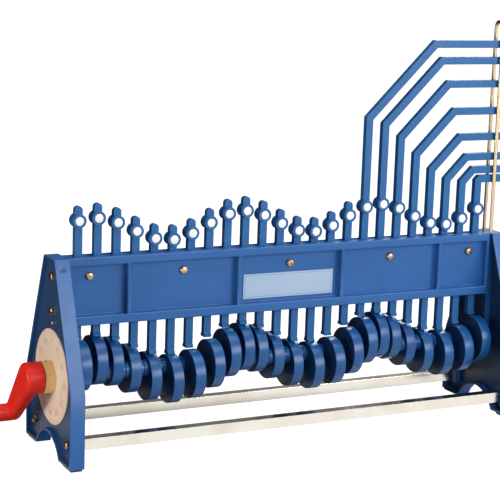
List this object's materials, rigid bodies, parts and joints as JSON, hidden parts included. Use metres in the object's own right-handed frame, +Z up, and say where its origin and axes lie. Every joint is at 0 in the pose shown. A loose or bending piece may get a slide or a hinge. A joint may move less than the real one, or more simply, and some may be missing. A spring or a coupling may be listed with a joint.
{
  "type": "wave motion demonstrator",
  "caption": "Hand-cranked demonstrator: cams on a shaft lift upright rods in a travelling wave, and bent rods turn the same motion into a wave of bunching bars.",
  "frame": {"origin": "on the table, below the middle of the whole part from the crank grip to the ends of the level bars, in the plane of the rods", "axes": "+X along the shaft away from the crank, -Y towards the viewer of the wave, +Z up"},
  "size_m": [0.7718, 0.162, 0.534],
  "materials": {
    "blue_frame": "satin blue moulded plates and panels",
    "blue_cams": "glossy moulded blue",
    "blue_rods": "smooth moulded blue",
    "brass": "polished brass",
    "polished_bar": "bright polished pale brass",
    "steel": "bright drawn steel",
    "dark_steel": "black oxide",
    "rubber": "matt black rubber",
    "dial": "cream printed disc",
    "label": "pale plain plate",
    "red_plastic": "glossy red moulding"
  },
  "bodies": {
    "frame": {"left_end_plate": "blue_frame", "right_end_plate": "blue_frame", "foot_pads": "rubber", "front_panel": "blue_frame", "rear_panel": "blue_frame", "top_comb": "blue_frame", "bottom_comb": "blue_frame", "panel_screws": "brass", "end_plate_screws": "brass", "label_plate": "label", "front_tie_bar": "polished_bar", "rear_tie_bar": "polished_bar", "brass_guide": "brass", "shaft_bushes": "brass", "phase_dial": "dial"},
    "camshaft": {"cam_shaft": "steel", "end_collars": "steel", "crank_hub": "brass", "grub_screws": "dark_steel", "crank_handle": "red_plastic", "cams_1": "blue_cams", "cams_2": "blue_cams", "cams_3": "blue_cams", "cams_4": "blue_cams", "cams_5": "blue_cams", "cams_6": "blue_cams", "cams_7": "blue_cams", "cams_8": "blue_cams"},
    "phase_pins_1": {"index_pins_1": "steel"},
    "phase_pins_2": {"index_pins_2": "steel"},
    "phase_pins_3": {"index_pins_3": "steel"},
    "phase_pins_4": {"index_pins_4": "steel"},
    "phase_pins_5": {"index_pins_5": "steel"},
    "phase_pins_6": {"index_pins_6": "steel"},
    "phase_pins_7": {"index_pins_7": "steel"},
    "phase_pins_8": {"index_pins_8": "steel"},
    "rod_01": {"rod_01": "blue_rods"},
    "rod_02": {"rod_02": "blue_rods"},
    "rod_03": {"rod_03": "blue_rods"},
    "rod_04": {"rod_04": "blue_rods"},
    "rod_05": {"rod_05": "blue_rods"},
    "rod_06": {"rod_06": "blue_rods"},
    "rod_07": {"rod_07": "blue_rods"},
    "rod_08": {"rod_08": "blue_rods"},
    "rod_09": {"rod_09": "blue_rods"},
    "rod_10": {"rod_10": "blue_rods"},
    "rod_11": {"rod_11": "blue_rods"},
    "rod_12": {"rod_12": "blue_rods"},
    "rod_13": {"rod_13": "blue_rods"},
    "rod_14": {"rod_14": "blue_rods"},
    "rod_15": {"rod_15": "blue_rods"},
    "rod_16": {"rod_16": "blue_rods"},
    "rod_17": {"rod_17": "blue_rods"},
    "rod_18": {"rod_18": "blue_rods"},
    "rod_19": {"rod_19": "blue_rods"},
    "rod_20": {"rod_20": "blue_rods"},
    "rod_21": {"rod_21": "blue_rods"},
    "rod_22": {"rod_22": "blue_rods"},
    "rod_23": {"rod_23": "blue_rods"},
    "rod_24": {"rod_24": "blue_rods"}
  },
  "joints": [
    {"name": "crank_turn", "type": "hinge", "parent": "frame", "child": "camshaft", "pos_m": [0.06092, 0, 0.0975], "axis": [1, 0, 0], "continuous": true},
    {"name": "phase_1_turn", "type": "hinge", "parent": "camshaft", "child": "phase_pins_1", "pos_m": [0.06092, -0.0046, 0.10405], "axis": [1, 0, 0], "continuous": true},
    {"name": "phase_2_turn", "type": "hinge", "parent": "camshaft", "child": "phase_pins_2", "pos_m": [0.06092, 0.00138, 0.10538], "axis": [1, 0, 0], "continuous": true},
    {"name": "phase_3_turn", "type": "hinge", "parent": "camshaft", "child": "phase_pins_3", "pos_m": [0.06092, 0.00655, 0.1021], "axis": [1, 0, 0], "continuous": true},
    {"name": "phase_4_turn", "type": "hinge", "parent": "camshaft", "child": "phase_pins_4", "pos_m": [0.06092, 0.00788, 0.09612], "axis": [1, 0, 0], "continuous": true},
    {"name": "phase_5_turn", "type": "hinge", "parent": "camshaft", "child": "phase_pins_5", "pos_m": [0.06092, 0.0046, 0.09095], "axis": [1, 0, 0], "continuous": true},
    {"name": "phase_6_turn", "type": "hinge", "parent": "camshaft", "child": "phase_pins_6", "pos_m": [0.06092, -0.00138, 0.08962], "axis": [1, 0, 0], "continuous": true},
    {"name": "phase_7_turn", "type": "hinge", "parent": "camshaft", "child": "phase_pins_7", "pos_m": [0.06092, -0.00655, 0.0929], "axis": [1, 0, 0], "continuous": true},
    {"name": "phase_8_turn", "type": "hinge", "parent": "camshaft", "child": "phase_pins_8", "pos_m": [0.06092, -0.00788, 0.09888], "axis": [1, 0, 0], "continuous": true},
    {"name": "rod_01_ride", "type": "hinge", "parent": "phase_pins_1", "child": "rod_01", "pos_m": [-0.22657, 0, 0.11059], "axis": [1, 0, 0], "continuous": true},
    {"name": "rod_02_ride", "type": "hinge", "parent": "phase_pins_2", "child": "rod_02", "pos_m": [-0.20158, 0, 0.11326], "axis": [1, 0, 0], "continuous": true},
    {"name": "rod_03_ride", "type": "hinge", "parent": "phase_pins_3", "child": "rod_03", "pos_m": [-0.17658, 0, 0.1067], "axis": [1, 0, 0], "continuous": true},
    {"name": "rod_04_ride", "type": "hinge", "parent": "phase_pins_4", "child": "rod_04", "pos_m": [-0.15157, 0, 0.09475], "axis": [1, 0, 0], "continuous": true},
    {"name": "rod_05_ride", "type": "hinge", "parent": "phase_pins_5", "child": "rod_05", "pos_m": [-0.12657, 0, 0.08441], "axis": [1, 0, 0], "continuous": true},
    {"name": "rod_06_ride", "type": "hinge", "parent": "phase_pins_6", "child": "rod_06", "pos_m": [-0.10157, 0, 0.08174], "axis": [1, 0, 0], "continuous": true},
    {"name": "rod_07_ride", "type": "hinge", "parent": "phase_pins_7", "child": "rod_07", "pos_m": [-0.07658, 0, 0.0883], "axis": [1, 0, 0], "continuous": true},
    {"name": "rod_08_ride", "type": "hinge", "parent": "phase_pins_8", "child": "rod_08", "pos_m": [-0.05158, 0, 0.10025], "axis": [1, 0, 0], "continuous": true},
    {"name": "rod_09_ride", "type": "hinge", "parent": "phase_pins_1", "child": "rod_09", "pos_m": [-0.02658, 0, 0.11059], "axis": [1, 0, 0], "continuous": true},
    {"name": "rod_10_ride", "type": "hinge", "parent": "phase_pins_2", "child": "rod_10", "pos_m": [-0.00158, 0, 0.11326], "axis": [1, 0, 0], "continuous": true},
    {"name": "rod_11_ride", "type": "hinge", "parent": "phase_pins_3", "child": "rod_11", "pos_m": [0.02343, 0, 0.1067], "axis": [1, 0, 0], "continuous": true},
    {"name": "rod_12_ride", "type": "hinge", "parent": "phase_pins_4", "child": "rod_12", "pos_m": [0.04843, 0, 0.09475], "axis": [1, 0, 0], "continuous": true},
    {"name": "rod_13_ride", "type": "hinge", "parent": "phase_pins_5", "child": "rod_13", "pos_m": [0.07343, 0, 0.08441], "axis": [1, 0, 0], "continuous": true},
    {"name": "rod_14_ride", "type": "hinge", "parent": "phase_pins_6", "child": "rod_14", "pos_m": [0.09842, 0, 0.08174], "axis": [1, 0, 0], "continuous": true},
    {"name": "rod_15_ride", "type": "hinge", "parent": "phase_pins_7", "child": "rod_15", "pos_m": [0.12343, 0, 0.0883], "axis": [1, 0, 0], "continuous": true},
    {"name": "rod_16_ride", "type": "hinge", "parent": "phase_pins_8", "child": "rod_16", "pos_m": [0.14843, 0, 0.10025], "axis": [1, 0, 0], "continuous": true},
    {"name": "rod_17_ride", "type": "hinge", "parent": "phase_pins_1", "child": "rod_17", "pos_m": [0.17342, 0, 0.11059], "axis": [1, 0, 0], "continuous": true},
    {"name": "rod_18_ride", "type": "hinge", "parent": "phase_pins_2", "child": "rod_18", "pos_m": [0.19842, 0, 0.11326], "axis": [1, 0, 0], "continuous": true},
    {"name": "rod_19_ride", "type": "hinge", "parent": "phase_pins_3", "child": "rod_19", "pos_m": [0.22343, 0, 0.1067], "axis": [1, 0, 0], "continuous": true},
    {"name": "rod_20_ride", "type": "hinge", "parent": "phase_pins_4", "child": "rod_20", "pos_m": [0.24843, 0, 0.09475], "axis": [1, 0, 0], "continuous": true},
    {"name": "rod_21_ride", "type": "hinge", "parent": "phase_pins_5", "child": "rod_21", "pos_m": [0.27342, 0, 0.08441], "axis": [1, 0, 0], "continuous": true},
    {"name": "rod_22_ride", "type": "hinge", "parent": "phase_pins_6", "child": "rod_22", "pos_m": [0.29842, 0, 0.08174], "axis": [1, 0, 0], "continuous": true},
    {"name": "rod_23_ride", "type": "hinge", "parent": "phase_pins_7", "child": "rod_23", "pos_m": [0.32343, 0, 0.0883], "axis": [1, 0, 0], "continuous": true},
    {"name": "rod_24_ride", "type": "hinge", "parent": "phase_pins_8", "child": "rod_24", "pos_m": [0.34842, 0, 0.10025], "axis": [1, 0, 0], "continuous": true}
  ],
  "couplings": [
    {"joint": "phase_1_turn", "follows": "crank_turn", "ratio": -2},
    {"joint": "phase_2_turn", "follows": "crank_turn", "ratio": -2},
    {"joint": "phase_3_turn", "follows": "crank_turn", "ratio": -2},
    {"joint": "phase_4_turn", "follows": "crank_turn", "ratio": -2},
    {"joint": "phase_5_turn", "follows": "crank_turn", "ratio": -2},
    {"joint": "phase_6_turn", "follows": "crank_turn", "ratio": -2},
    {"joint": "phase_7_turn", "follows": "crank_turn", "ratio": -2},
    {"joint": "phase_8_turn", "follows": "crank_turn", "ratio": -2},
    {"joint": "rod_01_ride", "follows": "crank_turn", "ratio": 1},
    {"joint": "rod_02_ride", "follows": "crank_turn", "ratio": 1},
    {"joint": "rod_03_ride", "follows": "crank_turn", "ratio": 1},
    {"joint": "rod_04_ride", "follows": "crank_turn", "ratio": 1},
    {"joint": "rod_05_ride", "follows": "crank_turn", "ratio": 1},
    {"joint": "rod_06_ride", "follows": "crank_turn", "ratio": 1},
    {"joint": "rod_07_ride", "follows": "crank_turn", "ratio": 1},
    {"joint": "rod_08_ride", "follows": "crank_turn", "ratio": 1},
    {"joint": "rod_09_ride", "follows": "crank_turn", "ratio": 1},
    {"joint": "rod_10_ride", "follows": "crank_turn", "ratio": 1},
    {"joint": "rod_11_ride", "follows": "crank_turn", "ratio": 1},
    {"joint": "rod_12_ride", "follows": "crank_turn", "ratio": 1},
    {"joint": "rod_13_ride", "follows": "crank_turn", "ratio": 1},
    {"joint": "rod_14_ride", "follows": "crank_turn", "ratio": 1},
    {"joint": "rod_15_ride", "follows": "crank_turn", "ratio": 1},
    {"joint": "rod_16_ride", "follows": "crank_turn", "ratio": 1},
    {"joint": "rod_17_ride", "follows": "crank_turn", "ratio": 1},
    {"joint": "rod_18_ride", "follows": "crank_turn", "ratio": 1},
    {"joint": "rod_19_ride", "follows": "crank_turn", "ratio": 1},
    {"joint": "rod_20_ride", "follows": "crank_turn", "ratio": 1},
    {"joint": "rod_21_ride", "follows": "crank_turn", "ratio": 1},
    {"joint": "rod_22_ride", "follows": "crank_turn", "ratio": 1},
    {"joint": "rod_23_ride", "follows": "crank_turn", "ratio": 1},
    {"joint": "rod_24_ride", "follows": "crank_turn", "ratio": 1}
  ]
}
